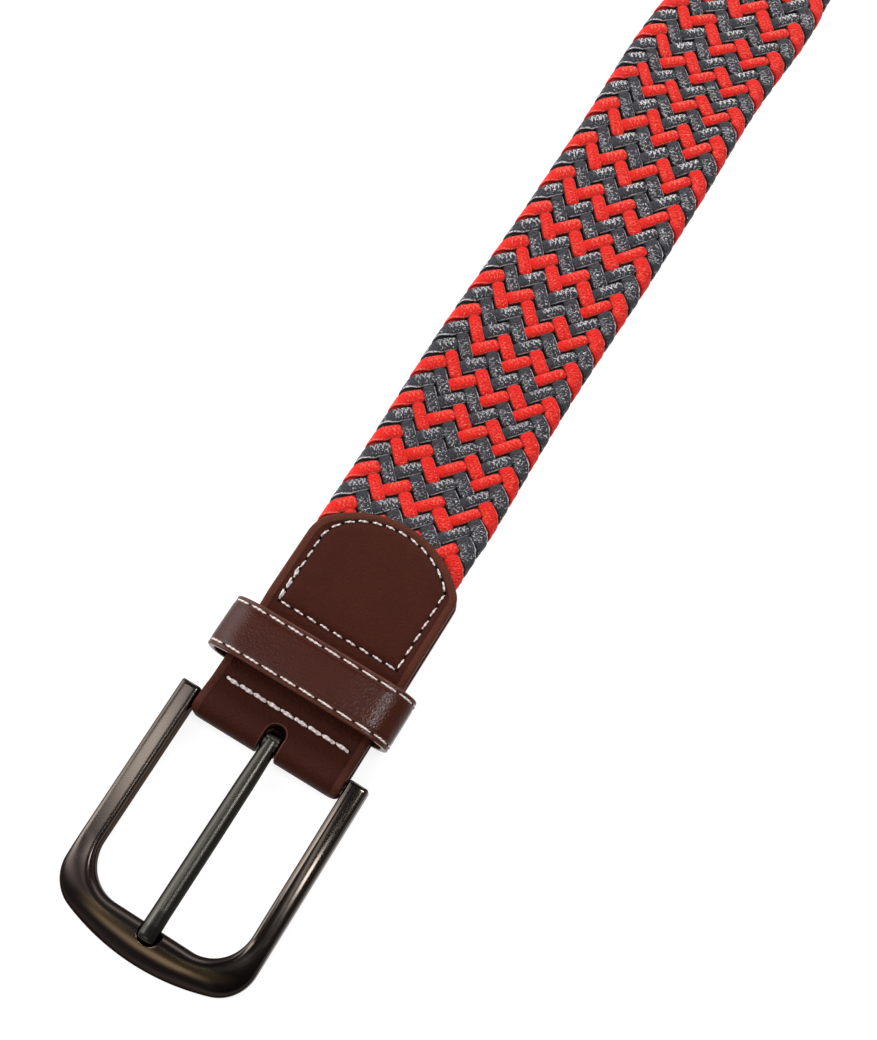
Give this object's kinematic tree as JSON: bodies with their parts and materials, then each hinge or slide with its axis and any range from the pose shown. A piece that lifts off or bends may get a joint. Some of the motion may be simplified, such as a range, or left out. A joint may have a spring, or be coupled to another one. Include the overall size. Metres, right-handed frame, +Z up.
{
  "type": "braided belt",
  "caption": "Buckle end of a braided belt: a flat braid of coloured cords in a stitched leather tab with a keeper loop, a hinged metal frame and prong, and a plain leather tip.",
  "frame": {"origin": "on the surface that the belt lies on, under the middle of its length and width", "axes": "+X along the strap from the buckle to the leather tip, +Y across it, +Z up out of the surface"},
  "size_m": [0.322, 0.0446, 0.0121],
  "materials": {
    "leather": "smooth dark brown leather with a satin finish",
    "red_cord": "matt knitted cord",
    "grey_cord": "matt knitted cord with lighter flecks",
    "thread": "matt sewing thread",
    "gunmetal": "dark gunmetal plating, satin to glossy"
  },
  "bodies": {
    "belt": {"leather_tab": "leather", "keeper": "leather", "braid": "red_cord", "leather_tip": "leather"},
    "frame": {"buckle_frame": "gunmetal"},
    "prong": {"prong": "gunmetal"}
  },
  "joints": [
    {"name": "frame_hinge", "type": "hinge", "parent": "belt", "child": "frame", "pos_m": [-0.1112, 0, 0.003], "axis": [0, 1, 0], "range_deg": [0, 45]},
    {"name": "prong_hinge", "type": "hinge", "parent": "frame", "child": "prong", "pos_m": [-0.1112, 0, 0.003], "axis": [0, 1, 0], "range_deg": [0, 60]}
  ]
}
